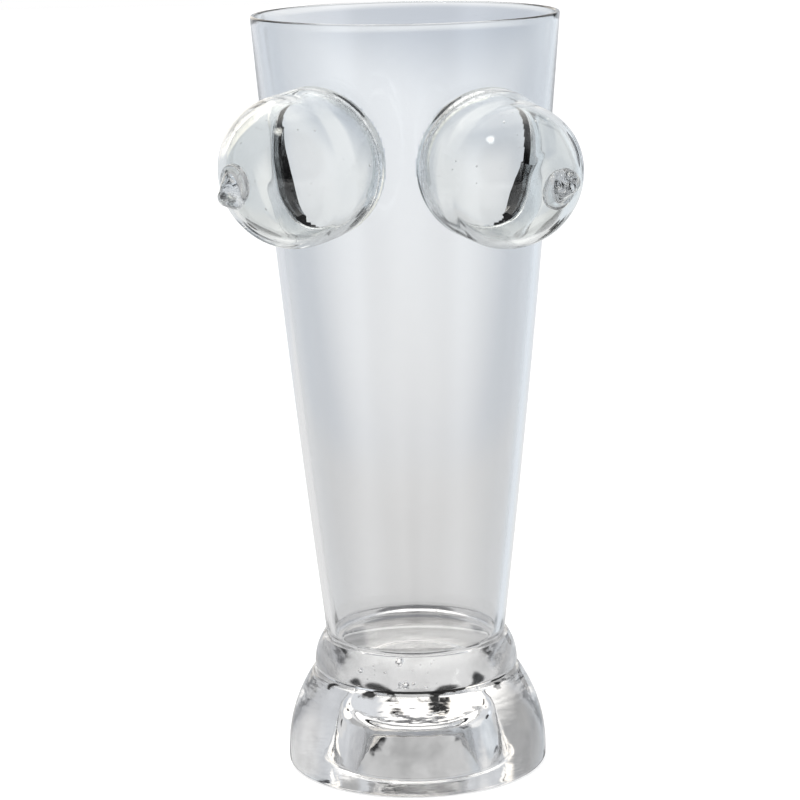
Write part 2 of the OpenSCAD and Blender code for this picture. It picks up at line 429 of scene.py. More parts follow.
def dome_place(sizes, domes, side):
    """Centre and axes of a dome: its own axis is the third row, and points out of the glass."""
    angle, aim, droop, drop = (getattr(domes, f"{side}_{what}") for what in ("turn", "aim", "droop", "drop"))
    z = sizes.height - drop
    share = (z - sizes.waist_height) / (sizes.height - sizes.wall / 2 - sizes.waist_height)
    out = sizes.waist_radius + (sizes.rim_radius - sizes.waist_radius) * share + domes.stand
    centre = Matrix.Rotation(angle, 3, "Z") @ Vector((0, -out, z))
    axes = Matrix.Rotation(aim, 3, "Z") @ Matrix.Rotation(math.pi / 2 + droop, 3, "X")
    square, span = getattr(domes, f"{side}_square"), getattr(domes, f"{side}_span")
    return SimpleNamespace(centre=np.array(centre), axes=np.array(axes).T, square=square, span=span)


def local_depth(domes, local):
    """How far points in a dome's own frame are outside it: the distance from its core, less the radius of its rounding.

    The core is the short cylinder of the crown's flat radius between the centres of the two roundings."""
    rounding = domes.radius - domes.flat
    across = np.maximum(np.hypot(local[..., 0], local[..., 1]) - domes.flat, 0)
    along = np.maximum(np.abs(local[..., 2]) - (domes.reach - rounding), 0)
    return np.hypot(across, along) - rounding


def dome_depth(domes, place, points):
    """How far points are outside a dome's surface."""
    return local_depth(domes, (points - place.centre) @ place.axes.T)


def around_axis(place, points):
    """Angle of points about a dome's own axis."""
    local = (points - place.centre) @ place.axes.T
    return np.arctan2(local[..., 1], local[..., 0])


def from_square(place, around):
    """How far angles round a dome's axis are from its opening's square edge, as a share of that edge's span."""
    return np.abs(np.angle(np.exp(1j * (around - place.square)))) / place.span


def hole_depth(domes, places, points, inside):
    """How far points are outside the openings into the domes, which are a bore's width inside the domes' surfaces.

    Inside the bowl an opening is wider by the flare at both ends of its square edge, which makes that edge a leaf.
    The flare starts at a sixth of the edge's span, is full at the end of it and is gone at one and a half spans."""
    gaps = []
    for place in places:
        away = from_square(place, around_axis(place, points))
        share = np.clip(np.minimum(1.2 * away - 0.2, 3 - 2 * away), 0, 1)
        flare = domes.flare * inside * smooth(share)
        gaps.append(dome_depth(domes, place, points) + domes.wall + domes.ring_shelf - flare)
    return np.minimum(*gaps)


def can_depth(across, along, radius, top, soft):
    """How far points are outside a can with a rounded upper edge, which goes on downwards without end."""
    a, b = across - radius + soft, along - top + soft
    return np.minimum(np.maximum(a, b), 0) + np.hypot(np.maximum(a, 0), np.maximum(b, 0)) - soft


def tip_depth(domes, lean, local):
    """How far points in a dome's own frame are outside its tip, as if the tip went on into the dome.

    The tip is a pad about the dome's axis and a leaning knob with a round root at the crown. The smaller of the two
    distances counts, less a quarter of the neck where they are alike, so that the two run into each other."""
    d = domes
    x, y, z = local[..., 0], local[..., 1], local[..., 2] - d.reach
    pad = can_depth(np.hypot(x, y), z, d.pad_radius, d.pad_height, 0.5 * d.pad_height)
    along = y * math.sin(lean) + z * math.cos(lean)
    across = np.hypot(x, y * math.cos(lean) - z * math.sin(lean))
    barrel = can_depth(across, along, d.knob_radius, d.knob_length, d.knob_round)
    knob = np.where(along > 0, barrel, np.hypot(across, along) - d.knob_radius)
    alike = np.maximum(1 - np.abs(pad - knob) / d.neck, 0)
    return np.minimum(pad, knob) - 0.25 * d.neck * alike ** 2


def dome_curve(domes, more, s):
    """Radius and height on a dome's outline, made larger by more, at length s from the crown.

    A flat, a quarter round, a straight side and a second quarter round follow each other."""
    rounding = domes.radius - domes.flat + more
    half = domes.reach - (domes.radius - domes.flat)
    quarter = rounding * math.pi / 2
    over = np.clip((s - domes.flat) / rounding, 0, math.pi / 2)
    down = np.clip(s - domes.flat - quarter, 0, 2 * half)
    under = np.clip((s - domes.flat - quarter - 2 * half) / rounding, 0, math.pi / 2)
    r = np.minimum(s, domes.flat) + rounding * (np.sin(over) - 1 + np.cos(under))
    h = half + rounding * np.cos(over) - down - rounding * np.sin(under)
    return r, h


def dome_point(place, around, r, h):
    """Point at radius r and height h on a dome's own axis, at an angle around it."""
    local = np.stack([r * np.cos(around), r * np.sin(around), h + 0 * around], axis=-1)
    return local @ place.axes + place.centre


def length_to_wall(sizes, domes, place, around, more, off):
    """Length from the crown along a dome's outline to where it is off the wall of the bowl by the given amount.

    Looks for the first sample past the surface, then halves the step around it."""
    more, off = np.broadcast_arrays(np.asarray(more, float), np.asarray(off, float))
    more, off = more[..., None] + 0 * around, off[..., None] + 0 * around

    def outside(s):
        r, h = dome_curve(domes, more, s)
        p = dome_point(place, around, r, h)
        return np.hypot(p[..., 0], p[..., 1]) - wall_radius(sizes, p[..., 2]) - off

    longest = domes.flat + math.pi * (domes.radius - domes.flat) + 2 * domes.reach
    samples = np.linspace(0, SEARCHED * longest, SAMPLES)
    inside = np.stack([outside(s + 0 * more) < 0 for s in samples])
    first = inside.argmax(axis=0)
    if not inside.any(axis=0).all() or (first == 0).any():
        raise RuntimeError("a dome doesn't reach the bowl")
    low, high = samples[first - 1], samples[first]
    for _ in range(HALVINGS):
        mid = (low + high) / 2
        past = outside(mid) < 0
        low, high = np.where(past, low, mid), np.where(past, mid, high)
    return (low + high) / 2


def uneven(around, share, phase):
    """A smooth unevenness from -1 to 1 over a dome: waves in the angle and in the share of the way to the wall."""
    return (
        0.5 * np.sin(2 * around + 5 * share + phase)
        + 0.3 * np.sin(3 * around - 7 * share + 2.3 * phase)
        + 0.2 * np.sin(5 * around + 9 * share + 0.7 * phase)
    )


def bubble_radii(draw, count, least, more, power):
    """Random radii of air bubbles, from the least one up. The higher the power, the fewer are large."""
    return least + more * draw.rand(count) ** power


def seed_balls(centres, radii, squash, axes):
    """Small air bubbles as closed lathed balls whose faces point into the bubble, which is out of the glass.

    Point: centre + radius x unit ball from the top down, flattened along the third axis by squash."""
    ball = unit_ball(SEED_ROWS, SEED_COLUMNS) * (1, 1, -squash)
    (quads, *fans), _ = capped_grid(SEED_ROWS, SEED_COLUMNS)
    points = centres[:, None, :] + radii[:, None, None] * np.einsum("pk,nkx->npx", ball, axes)
    shift = (np.arange(len(centres)) * len(ball))[:, None, None]
    return points.reshape(-1, 3), (quads + shift).reshape(-1, 4), (np.vstack(fans) + shift).reshape(-1, 3)


def with_seeds(points, faces, marks, seeds):
    """A piece's mesh with the meshes of its air bubbles added."""
    more_points, quads, fans = seeds
    first = len(points)
    return (
        np.vstack([points, more_points]),
        faces + [first + quads, first + fans],
        marks + [np.zeros(len(quads)), np.zeros(len(fans))],
    )


def dome_solid(sizes, domes, place, phase, sag, belly, lean):
    """A hollow dome: its outside from crown to ring, the face fused to the ring, and its inside back to the crown.

    Rows follow the outline at equal shares of the length to the ring, columns go round the dome's own axis.
    Also returns the length of each column of the outside."""
    around = turns(DOME_COLUMNS)
    cut_out = length_to_wall(sizes, domes, place, around, 0.0, domes.ring_height)
    cut_in = length_to_wall(sizes, domes, place, around, -domes.wall, domes.ring_height)
    rounding = domes.radius - domes.flat
    pad_s = domes.flat + rounding * math.asin((domes.pad_radius - domes.flat) / rounding)
    crown_s = shares(CROWN_ROWS) * pad_s + 0 * around
    outer_s = np.vstack([crown_s, pad_s + shares(OUTER_ROWS) * (cut_out - pad_s)])
    inner_s = shares(INNER_ROWS)[::-1] * cut_in
    fade_share, steepness, flattening, just_above = 0.25, 1.5, 0.2, 1.004
    outer_wobble, inner_phase = -0.6, 2.1

    def rows(s, cut, more, wobble, wave):
        """Points at lengths s, uneven and sunk except near the pad and the ring."""
        part = s / cut
        fade = smooth(np.clip((1 - part) / fade_share, 0, 1) * np.clip((s - pad_s) / pad_s, 0, 1))
        r, h = dome_curve(domes, more, s)
        out = dome_point(place, around, r, h) - place.centre
        normal = unit(out - flattening * (out @ place.axes[2])[..., None] * place.axes[2])
        swell = wobble * fade * uneven(around, part, wave)
        level = r * np.sin(around) / domes.radius
        upper, lower = np.clip(level, 0, 1) ** steepness, np.clip(-level, 0, 1) ** steepness
        sunk = fade * (sag * upper + belly * lower)
        return place.centre + out + swell[..., None] * normal - sunk[..., None] * place.axes[1]

    outer = rows(outer_s, cut_out, 0.0, outer_wobble * domes.wobble, phase)
    inner = rows(inner_s, cut_in, -domes.wall, domes.wobble, phase + inner_phase)
    points = np.concatenate([outer, inner]).reshape(-1, 3)
    poles = dome_point(place, np.zeros(2), np.zeros(2), np.array([domes.reach, domes.reach - domes.wall]))
    faces, row = capped_grid(len(outer) + len(inner), DOME_COLUMNS)
    middle = (points[faces[0]].mean(axis=1) - place.centre) @ place.axes.T
    covered = (tip_depth(domes, lean, just_above * middle) < 0) & (row < len(outer) - 1)
    fused = covered | (row < CROWN_ROWS - 1) | (row == len(outer) - 1)
    marks = [np.where(fused, SEAM, OWN), np.full(DOME_COLUMNS, SEAM), np.full(DOME_COLUMNS, OWN)]
    return np.vstack([points, poles]), [face[:, ::-1] for face in faces], marks, cut_out


def dome_seeds(domes, place, cut, count, seed):
    """Air bubbles in the wall of a dome, at random places about the middle of its thickness."""
    draw = np.random.RandomState(seed)
    column = draw.randint(0, DOME_COLUMNS, count)
    around = turns(DOME_COLUMNS)[column]
    nearest, spread, scatter, squash, step = 0.34, 0.6, 0.2, 0.8, 1e-5
    s = cut[column] * (nearest + spread * draw.rand(count))
    more = -domes.wall * (0.5 + scatter * (draw.rand(count) - 0.5))
    radii = bubble_radii(draw, count, 0.00009, 0.00030, 4)
    centres = dome_point(place, around, *dome_curve(domes, more, s))
    along = unit(dome_point(place, around, *dome_curve(domes, more, s + step)) - centres)
    side = unit(np.cross(along, centres - place.centre))
    return seed_balls(centres, radii, squash, np.stack([along, side, np.cross(along, side)], axis=1))


def ring_section(domes):
    """Section of a seal ring as pairs of offset from the dome and height off the bowl, with its fused and inner steps.

    It follows the bowl outwards, swells up to the dome, crosses under the dome's wall and comes back down the bore."""
    under_points, swell_points, seat_points = 8, 13, 5
    bore = -(domes.wall + domes.ring_shelf)
    rise = np.linspace(0, 1, swell_points)
    bulge = domes.ring_foot * (1 - rise) ** 3 + domes.ring_bulge * np.sin(math.pi * rise)
    soft = 0.45 * domes.ring_shelf
    pairs = joined(
        line((bore, 0), (domes.ring_foot, 0), under_points),
        np.column_stack([bulge, domes.ring_height * rise]),
        line((0, domes.ring_height), (-domes.wall, domes.ring_height), seat_points),
        line((-domes.wall, domes.ring_height), (bore + soft, domes.ring_height), 3),
        arc((bore + soft, domes.ring_height - soft), soft, 90, 180, 6),
        line((bore, domes.ring_height - soft), (bore, 0), 6)[:-1],
    )
    step = np.arange(len(pairs))
    seat = under_points - 1 + swell_points - 1
    inner = step >= seat + seat_points - 1
    fused = (step < under_points - 1) | (step >= seat) & ~inner
    return pairs, fused, inner


def ring_solid(sizes, domes, place):
    """A seal ring: its section, as offsets from the dome and from the bowl, carried once round the dome's axis."""
    around = turns(DOME_COLUMNS)
    pairs, fused, inner = ring_section(domes)
    more, off = pairs.T
    s = length_to_wall(sizes, domes, place, around, more, off)
    grid = dome_point(place, around, *dome_curve(domes, more[:, None], s))
    quads, row = strip_quads(len(pairs), DOME_COLUMNS, wrap_rows=True)
    away = np.tile(from_square(place, around), len(pairs))
    # Near the square edge the bore takes the second glass, painted near-black as a dark refraction
    bore = np.where(away < 1, OTHER, np.where(away * place.span > FAR_SIDE, OWN, SEAM))
    return grid.reshape(-1, 3), [quads], [np.where(inner[row], bore, np.where(fused[row], SEAM, OWN))]


def tip_solid(domes, place, lean, phase):
    """A tip: rays from a point inside it, each followed out to the surface of the tip or of the dome.

    Each ray grows by its end's distance from the surface until it is there. The knob is then made a little uneven."""
    ray = unit_ball(TIP_ROWS, TIP_COLUMNS)
    eye_up, eye_along, touching, steps = 0.001, 0.0015, 2e-6, 120
    eye = np.array([0, eye_along * math.sin(lean), domes.reach + eye_up + eye_along * math.cos(lean)])
    far = np.zeros((len(ray), 1))
    for _ in range(steps):
        local = eye + far * ray
        far -= np.maximum(tip_depth(domes, lean, local), -local_depth(domes, local))[:, None]
    local = eye + far * ray
    seat = local_depth(domes, local) < touching
    around = np.arctan2(ray[:, 1], ray[:, 0])
    up = np.clip((local[:, 2] - domes.reach - domes.pad_height) / domes.knob_length, 0, 1)
    dent = 0.03 + 0.02 * np.sin(2 * around + phase) + 0.01 * np.sin(5 * around + 2 * phase + 900 * local[:, 2])
    local = eye + far * (1 - dent * np.minimum(4 * up, 1))[:, None] * ray
    faces, _ = capped_grid(TIP_ROWS, TIP_COLUMNS)
    marks = [np.where(seat[face].all(axis=1), SEAM, OWN) for face in faces]
    return local @ place.axes + place.centre, faces, marks


def tip_seeds(domes, place, lean, count, seed):
    """Air bubbles inside the knob of a tip, at random places in a cylinder on the knob's axis."""
    draw = np.random.RandomState(seed)
    width, lowest, spread, squash = 0.7, 0.4, 0.45, 0.9
    around = draw.rand(count) * 2 * math.pi
    r = width * domes.knob_radius * np.sqrt(draw.rand(count))
    u = domes.knob_length * (lowest + spread * draw.rand(count))
    side, over = r * np.cos(around), r * np.sin(around)
    y = u * math.sin(lean) + over * math.cos(lean)
    z = domes.reach + u * math.cos(lean) - over * math.sin(lean)
    radii = bubble_radii(draw, count, 0.0001, 0.00026, 2)
    centres = np.column_stack([side, y, z]) @ place.axes + place.centre
    return seed_balls(centres, radii, squash, np.broadcast_to(np.eye(3), (count, 3, 3)))


# Bowl

def bowl_rows(sizes, domes, places):
    """Rows of the bowl's outline from the middle of its underside, up the outside, over the rim and down the inside.

    Each row has a radius, a height and the number of its surface."""
    s = sizes
    lower_rows, dome_rows, upper_rows, margin = 32, 72, 8, 0.004
    under_middle, dish_middle = 0.005, 0.003
    lip_z = s.height - s.rim_wall / 2
    low = min(place.centre[2] for place in places) - domes.radius - margin
    high = max(place.centre[2] for place in places) + domes.radius + margin
    climb = np.concatenate([
        [bowl_bottom(s)], np.linspace(knop_top(s), low, lower_rows),
        np.linspace(low, high, dome_rows)[1:], np.linspace(high, lip_z, upper_rows)[1:],
    ])
    lean = math.atan((s.waist_radius - s.base_radius) / (s.waist_height - bowl_bottom(s)))
    floor_z = bowl_bottom(s) + s.floor
    mid_z = floor_z + s.floor_round
    mid_r = wall_radius(s, mid_z) - s.wall - s.floor_round / math.cos(lean)
    touch = mid_z - s.floor_round * math.sin(lean)
    fall = np.concatenate([climb[:lower_rows + 1:-1], np.linspace(low, touch, lower_rows)])
    bend = arc((mid_r, mid_z), s.floor_round, -math.degrees(lean), -90, 12)[1:]
    dish = line((mid_r, floor_z), (dish_middle, floor_z), 9)[1:]
    stretches = (
        (ELSEWHERE, line((under_middle, bowl_bottom(s)), (s.base_radius, bowl_bottom(s)), 5)[:-1]),
        (OUTSIDE, np.column_stack([wall_radius(s, climb), climb])),
        (ELSEWHERE, arc((s.rim_radius - s.rim_wall / 2, lip_z), s.rim_wall / 2, 0, 180, 15)[1:-1]),
        (INSIDE, np.column_stack([wall_radius(s, fall) - wall_at(s, fall), fall])),
        (ELSEWHERE, np.vstack([bend, dish])),
    )
    r, z = np.vstack([points for _, points in stretches]).T
    return r, z, np.concatenate([np.full(len(points), surface) for surface, points in stretches])


def snap(field, at, angle, z, movable):
    """Moves the grid's points that are nearest to where a field is zero onto that curve, along the edges of the grid.

    On each edge whose ends have opposite signs the nearer end is moved, by the shortest of its edges' steps.
    A few Newton steps with numerical slopes then set these points on the curve, with the radius of the bowl as the
    weight between angles and heights. Returns the new grid and which points were moved."""
    best = np.full(field.shape, np.inf)
    step_a, step_z = np.zeros(field.shape), np.zeros(field.shape)
    turn_step = 2 * math.pi / field.shape[1]
    for axis in (0, 1):
        far, far_z = np.roll(field, -1, axis), np.roll(z, -1, axis)
        crossing = (field * far < 0) & movable & np.roll(movable, -1, axis)
        if axis == 0:
            crossing[-1] = False
        share = np.where(crossing, field / np.where(crossing, field - far, 1), np.inf)
        for near in (True, False):
            part = np.where(crossing, share if near else share - 1, np.inf)
            take = np.abs(part) <= 0.5
            move = np.where(take, part, 0)
            move_z = move * (far_z - z) if axis == 0 else 0 * move
            move_a = move * turn_step if axis == 1 else 0 * move
            size = np.where(take, np.abs(part), np.inf)
            if not near:
                size, move_a, move_z = (np.roll(x, 1, axis) for x in (size, move_a, move_z))
            better = size < best
            best = np.where(better, size, best)
            step_a, step_z = np.where(better, move_a, step_a), np.where(better, move_z, step_z)
    moved = np.isfinite(best)
    angle, z = angle + step_a, z + step_z
    eps_a, eps_z, weight = 1e-5, 1e-6, 0.04
    for _ in range(NEWTON_STEPS):
        f = at(angle, z)
        slope_a = (at(angle + eps_a, z) - f) / eps_a
        slope_z = (at(angle, z + eps_z) - f) / eps_z
        size = slope_a ** 2 / weight ** 2 + slope_z ** 2
        angle = np.where(moved, angle - f * slope_a / weight ** 2 / np.where(moved, size, 1), angle)
        z = np.where(moved, z - f * slope_z / np.where(moved, size, 1), z)
    return angle, z, moved


def zipped(ring_a, angle_a, ring_b, angle_b):
    """Triangles between two closed rings of vertices, each in order of its angle about one axis.

    All vertices are put in one order by angle, and each makes a triangle with the last one of either ring."""
    angle = np.concatenate([angle_a, angle_b])
    from_a = np.concatenate([np.ones(len(ring_a), bool), np.zeros(len(ring_b), bool)])
    order = np.argsort(angle, kind="stable")
    flag = from_a[order]
    last_a = (np.cumsum(flag) - 1) % len(ring_a)
    last_b = (np.cumsum(~flag) - 1) % len(ring_b)
    before_a = np.where(flag, (last_a - 1) % len(ring_a), last_a)
    before_b = np.where(flag, last_b, (last_b - 1) % len(ring_b))
    third = np.where(flag, ring_a[last_a], ring_b[last_b])
    return np.column_stack([third, ring_b[before_b], ring_a[before_a]])


def bowl_solid(sizes, domes, places):
    """The bowl: its outline carried round the axis, opened where the domes are and closed between its two walls there.

    Point: (r sin a, -r cos a, z), so the angle a is zero at the front. On the walls r follows z."""
    row_r, row_z, row_on = bowl_rows(sizes, domes, places)
    columns, rows = BOWL_COLUMNS, len(row_r)
    angle = -math.pi + turns(columns) + np.zeros((rows, 1))
    z = row_z[:, None] + np.zeros(columns)
    on = row_on[:, None] + np.zeros(columns, int)

    def spot(a, height):
        wall = wall_radius(sizes, height) - np.where(on == INSIDE, wall_at(sizes, height), 0)
        r = np.where(on == ELSEWHERE, row_r[:, None], wall)
        return np.stack([r * np.sin(a), -r * np.cos(a), height], axis=-1)

    def hole(a, height):
        return hole_depth(domes, places, spot(a, height), on == INSIDE)

    def seat(a, height):
        points = spot(a, height)
        return np.minimum(*(dome_depth(domes, place, points) for place in places)) - domes.ring_foot

    angle, z, on_hole = snap(hole(angle, z), hole, angle, z, on != ELSEWHERE)
    angle, z, on_seat = snap(seat(angle, z), seat, angle, z, on == OUTSIDE)
    sign_hole = np.where(on_hole, 0, np.sign(hole(angle, z))).ravel()
    sign_seat = np.where(on_seat, 0, np.sign(seat(angle, z))).ravel()
    points = spot(angle, z).reshape(-1, 3)

    # Quads with a corner on a curve are halved along it, and what lies in an opening is left out.
    (quads, *fans), row = capped_grid(rows, columns)
    signs = np.stack([sign_hole[quads], sign_seat[quads]])
    other = (signs[:, :, 0] * signs[:, :, 2] < 0).any(axis=0)
    cut = (signs == 0).any(axis=(0, 2))
    whole = ~cut & (signs[0].max(axis=1) > 0)
    plain, plain_row = quads[whole], row[whole]
    q, o = quads[cut], other[cut][:, None]
    tri = np.vstack([
        np.where(o, q[:, [0, 1, 3]], q[:, [0, 1, 2]]), np.where(o, q[:, [1, 2, 3]], q[:, [0, 2, 3]])])
    tri_row = np.tile(row[cut], 2)
    keep = sign_hole[tri].max(axis=1) > 0
    flat = ~sign_hole[tri].any(axis=1)
    keep |= flat & (hole_depth(domes, places, points[tri].mean(axis=1), row_on[tri_row] == INSIDE) > 0)
    tri, tri_row = tri[keep], tri_row[keep]

    def square(place, middle):
        return from_square(place, around_axis(place, middle)) < 1

    def fused(face_row, corners):
        middle = points[corners].mean(axis=1)
        surface = row_on[face_row]
        socket = row_z[np.minimum(face_row + 1, rows - 1)] < knop_top(sizes) + TINY
        seam = socket & (face_row < SOCKET_ROWS)
        for place in places:
            under = dome_depth(domes, place, middle) < domes.ring_foot
            seam |= under & ((surface == OUTSIDE) | ((surface == INSIDE) & ~square(place, middle)))
        return np.where(seam, SEAM, OWN)

    # The edges that only one face has are the rims of the openings. A sleeve joins the outer and inner rim of each.
    edge = np.vstack([tri[:, [k, (k + 1) % 3]] for k in range(3)] + [plain[:, [k, (k + 1) % 4]] for k in range(4)])
    pair, times = np.unique(np.sort(edge, axis=1), axis=0, return_counts=True)
    open_ends = np.unique(pair[(times == 1) & on_hole.ravel()[pair].all(axis=1)])
    sleeves, sleeve_marks = [], []
    for place in places:
        rings = []
        for surface in (OUTSIDE, INSIDE):
            mine = open_ends[on.ravel()[open_ends] == surface]
            local = (points[mine] - place.centre) @ place.axes.T
            near = (np.hypot(local[:, 0], local[:, 1]) < domes.radius) & (local[:, 2] > -2 * domes.reach)
            about = np.arctan2(local[near, 1], local[near, 0])
            order = np.argsort(about)
            rings += [mine[near][order], about[order]]
        sleeve = zipped(*rings)
        sleeves.append(sleeve)
        # At the square edge the sleeve takes the second glass, painted near-black as a dark refraction
        sleeve_marks.append(np.where(square(place, points[sleeve].mean(axis=1)), OTHER, SEAM))

    faces = [plain, tri, np.vstack(sleeves), *fans]
    marks = [
        fused(plain_row, plain), fused(tri_row, tri), np.concatenate(sleeve_marks),
        np.full(columns, SEAM), np.full(columns, OWN),
    ]
    poles = np.array([[0, 0, row_z[0]], [0, 0, row_z[-1]]])
    used, numbers = np.unique(np.concatenate([face.ravel() for face in faces]), return_inverse=True)
    stretches = np.split(numbers, np.cumsum([face.size for face in faces])[:-1])
    faces = [part.reshape(face.shape) for part, face in zip(stretches, faces)]
    return np.vstack([points, poles])[used], faces, marks


# Glass

def wire(tree, rows):
    """Adds nodes to a tree, in order. Each row has a name, a kind of node, its settings and its inputs.

    An input is a value, or the name of an earlier node and its output with a dot between. Returns the nodes by name."""
    made = {}
    for step, (name, kind, settings, inputs) in enumerate(rows):
        new = made[name] = tree.nodes.new(kind)
        new.location = (NODE_STEP * step, 0)
        for key, value in settings.items():
            setattr(new, key, value)
        for socket, value in inputs.items():
            if isinstance(value, str):
                source, output = value.split(".")
                output = int(output) if output.isdigit() else output
                tree.links.new(made[source].outputs[output], new.inputs[socket])
            else:
                new.inputs[socket].default_value = value
    return made


def maths(name, operation, *values, clamp=False):
    """Row for a sum of numbers."""
    return name, "ShaderNodeMath", {"operation": operation, "use_clamp": clamp}, dict(enumerate(values))


def vectors(name, operation, *values):
    """Row for a sum of vectors."""
    return name, "ShaderNodeVectorMath", {"operation": operation}, dict(enumerate(values))


def noise(name, where, scale, detail, **more):
    """Row for a noise at a place. With an input W it has a fourth dimension."""
    settings = {"noise_dimensions": "4D" if "W" in more else "3D"}
    return name, "ShaderNodeTexNoise", settings, {"Vector": where, "Scale": scale, "Detail": detail, **more}


def ranged(name, value, low, high, start=0.0, end=1.0, smoothed=True):
    """Row for a value that goes from start to end while another goes from low to high."""
    settings = {"interpolation_type": "SMOOTHSTEP" if smoothed else "LINEAR"}
    inputs = {"Value": value, "From Min": low, "From Max": high, "To Min": start, "To Max": end}
    return name, "ShaderNodeMapRange", settings, inputs


def mixed(name, share, first, second, blend="MIX"):
    """Row for a mix of two colours."""
    settings = {"data_type": "RGBA", "blend_type": blend}
    return name, "ShaderNodeMix", settings, {"Factor": share, "A": first, "B": second}


def shader_group(name, inputs, rows, results):
    """A node group by its name, made on first use. Inputs have their defaults, and results the outputs they come from.

    Its rows may use what is given, the object's own coordinates, and these split."""
    if name in bpy.data.node_groups:
        return bpy.data.node_groups[name]
    tree = bpy.data.node_groups.new(name, "ShaderNodeTree")
    for label, default in inputs.items():
        kind = "NodeSocketColor" if isinstance(default, tuple) else "NodeSocketFloat"
        tree.interface.new_socket(label, in_out="INPUT", socket_type=kind).default_value = default
    for label in results:
        kind = "NodeSocketColor" if label == "Tint" else "NodeSocketFloat"
        tree.interface.new_socket(label, in_out="OUTPUT", socket_type=kind)
    wire(tree, [
        ("given", "NodeGroupInput", {}, {}),
        ("where", "ShaderNodeTexCoord", {}, {}),
        ("split", "ShaderNodeSeparateXYZ", {}, {0: "where.Object"}),
        *rows,
        ("put", "NodeGroupOutput", {}, results),
    ])
    return tree


def node_material(name, rows):
    """A new material and its nodes by name, from rows that end with a shader."""
    material = bpy.data.materials.new(name)
    material.use_nodes = True
    material.node_tree.nodes.clear()
    out = ("out", "ShaderNodeOutputMaterial", {}, {"Surface": "shader.BSDF"})
    return material, wire(material.node_tree, [*rows, out])


def character_group():
    """What all the glass here has: cords and waves in the body of the glass and faint handling marks on it.

    Puts out a tint between two colours, a roughness and a height, all from noise on the object's own coordinates."""
    inputs = {
        "Clear": WHITE, "Deep": (0.8, 0.8, 0.8, 1), "Low": 0.0, "High": 0.2, "Cord scale": 60.0, "Mark scale": 25.0,
        "Marks": 0.02, "Even": 0.0, "Cords": 0.5,
    }
    rows = [
        ranged("climb", "split.Z", "given.Low", "given.High"),
        noise("cords", "where.Object", "given.Cord scale", 2.0),
        maths("shift", "SUBTRACT", "cords.Fac", 0.5),
        maths("sway", "MULTIPLY_ADD", "shift.0", "given.Cords", "climb.Result", clamp=True),
        mixed("ramp", "sway.0", "given.Deep", "given.Clear"),
        noise("marks", "where.Object", "given.Mark scale", 5.0),
        ranged("faint", "marks.Fac", 0.52, 0.75, smoothed=False),
        maths("rough", "MULTIPLY_ADD", "faint.Result", "given.Marks", "given.Even"),
    ]
    results = {"Tint": "ramp.Result", "Roughness": "rough.0", "Height": "cords.Fac"}
    return shader_group("Glass character", inputs, rows, results)


def painted_shade_group():
    """Painted shade: dark broken patches at the heights from low to high, where a noise is over the unshaded share
    there, with a little roughness.

    The front adds to the noise, in proportion to how far a point is before the axis of the glass, so the painted shade
    is heavier on the side that faces the camera."""
    inputs = {"Low": 0.0, "High": 0.001, "Scale": 100.0, "Seed": 0.0, "Bare": 0.6, "Front": 0.0}
    rows = [
        maths("over", "GREATER_THAN", "split.Z", "given.Low"),
        maths("under", "LESS_THAN", "split.Z", "given.High"),
        maths("band", "MULTIPLY", "over.0", "under.0"),
        noise("noise", "where.Object", "given.Scale", 3.0, W="given.Seed"),
        maths("ahead", "MULTIPLY", "split.Y", "given.Front"),
        maths("more", "SUBTRACT", "noise.Fac", "ahead.0"),
        maths("past", "SUBTRACT", "more.0", "given.Bare"),
        maths("steep", "MULTIPLY", "past.0", 25.0, clamp=True),
        maths("patch", "MULTIPLY", "steep.0", "band.0"),
        mixed("ramp", "patch.0", WHITE, (0.004, 0.004, 0.004, 1)),
        maths("dull", "MULTIPLY", "patch.0", 0.7),
    ]
    return shader_group("Seam grime", inputs, rows, {"Tint": "ramp.Result", "Roughness": "dull.0"})


def painted_shade(low, high, scale, seed, bare, front):
    """A layer of painted shade for a glass, with its settings."""
    return painted_shade_group(), {"Low": low, "High": high, "Scale": scale, "Seed": seed, "Bare": bare, "Front": front}


def haze_and_shade_group():
    """Speckled haze near the bowl: rough speckles from the heat of the weld, darkened by painted shade, full up to a
    stand-off from its wall, then fading.

    The wall is taken as a cone: its radius at level zero and its slope. The haze also fades towards the sides of the
    glass as seen from the front, between two distances from its middle. Puts out a tint, which is the painted shade,
    and a roughness."""
    inputs = {
        "Radius": 0.0234, "Slope": 0.0876, "Full": 0.004, "None": 0.007, "Scale": 900.0, "Amount": 1.0,
        "Side full": 0.020, "Side none": 0.029,
    }
    rows = [
        maths("square", "MULTIPLY", "split.X", "split.X"),
        maths("both", "MULTIPLY_ADD", "split.Y", "split.Y", "square.0"),
        maths("out", "SQRT", "both.0"),
        maths("wall", "MULTIPLY_ADD", "split.Z", "given.Slope", "given.Radius"),
        maths("off", "SUBTRACT", "out.0", "wall.0"),
        ranged("near", "off.0", "given.Full", "given.None", 1.0, 0.0),
        noise("noise", "where.Object", "given.Scale", 4.0),
        ranged("speck", "noise.Fac", 0.35, 0.65, smoothed=False),
        maths("aside", "ABSOLUTE", "split.X"),
        ranged("front", "aside.0", "given.Side full", "given.Side none", 1.0, 0.0),
        maths("zone", "MULTIPLY", "near.Result", "front.Result"),
        maths("mask", "MULTIPLY", "zone.0", "speck.Result"),
        maths("share", "MULTIPLY", "mask.0", "given.Amount"),
        mixed("ramp", "share.0", WHITE, (0.36, 0.37, 0.36, 1)),
        maths("rough", "MULTIPLY", "share.0", 0.35),
    ]
    return shader_group("Weld haze", inputs, rows, {"Tint": "ramp.Result", "Roughness": "rough.0"})


def darker(colour, share):
    """A share of a colour."""
    return tuple(share * x for x in colour)


